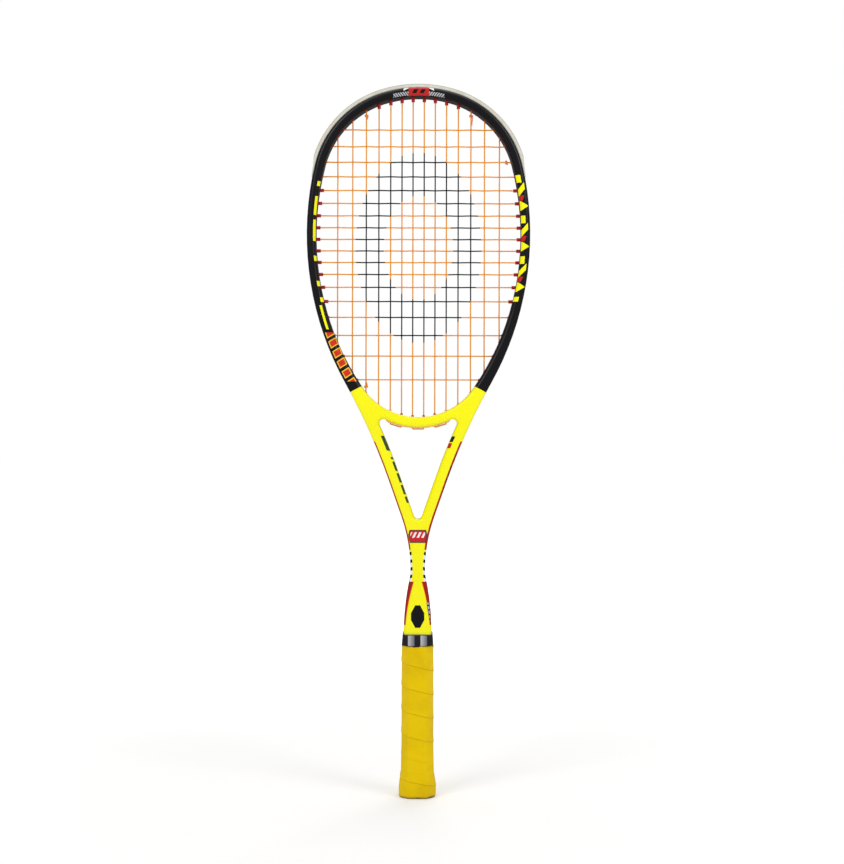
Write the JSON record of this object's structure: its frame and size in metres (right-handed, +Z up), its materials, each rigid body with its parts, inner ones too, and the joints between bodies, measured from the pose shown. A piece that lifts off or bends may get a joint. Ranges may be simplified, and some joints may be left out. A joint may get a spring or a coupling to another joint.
{
  "type": "squash racket",
  "caption": "Squash racket with a teardrop hoop, forked throat with a bridge, woven string bed in grommets, head guard and a wrapped flared handle.",
  "frame": {"origin": "centre of the butt's end face, at the bottom of the handle", "axes": "+Z up the handle to the head, +X across the width of the head, -Y the face shown in the picture"},
  "size_m": [0.2152, 0.0324, 0.686],
  "materials": {
    "hoop_paint": "gloss lacquer over carbon composite",
    "throat_paint": "gloss lacquer over carbon composite",
    "pallet_foam": "rigid polyurethane foam",
    "cap_plastic": "moulded nylon",
    "badge_plastic": "plain insert",
    "grip_tape": "soft polyurethane grip",
    "collar_tape": "vinyl finishing tape",
    "guard_plastic": "translucent nylon",
    "grommet_plastic": "moulded nylon",
    "string_nylon": "coated multifilament nylon"
  },
  "bodies": {
    "root": {"bumper_guard": "guard_plastic", "butt_cap": "cap_plastic", "cap_badge": "badge_plastic", "cross_string": "string_nylon", "finishing_tape": "collar_tape", "frame_hairpin": "hoop_paint", "grip_wrap": "grip_tape", "grommet_strip_junction_left": "grommet_plastic", "grommet_strip_junction_right": "grommet_plastic", "grommet_strip_lower_left": "grommet_plastic", "grommet_strip_lower_right": "grommet_plastic", "grommet_strip_shoulder_left": "grommet_plastic", "grommet_strip_shoulder_right": "grommet_plastic", "grommet_strip_side_left": "grommet_plastic", "grommet_strip_side_right": "grommet_plastic", "grommet_strip_throat": "grommet_plastic", "grommet_strip_top": "grommet_plastic", "handle_pallet": "pallet_foam", "knot_bottom_left": "string_nylon", "knot_side_right": "string_nylon", "knot_top_left": "string_nylon", "knot_top_right": "string_nylon", "main_string": "string_nylon", "throat_yoke": "throat_paint"}
  },
  "joints": []
}
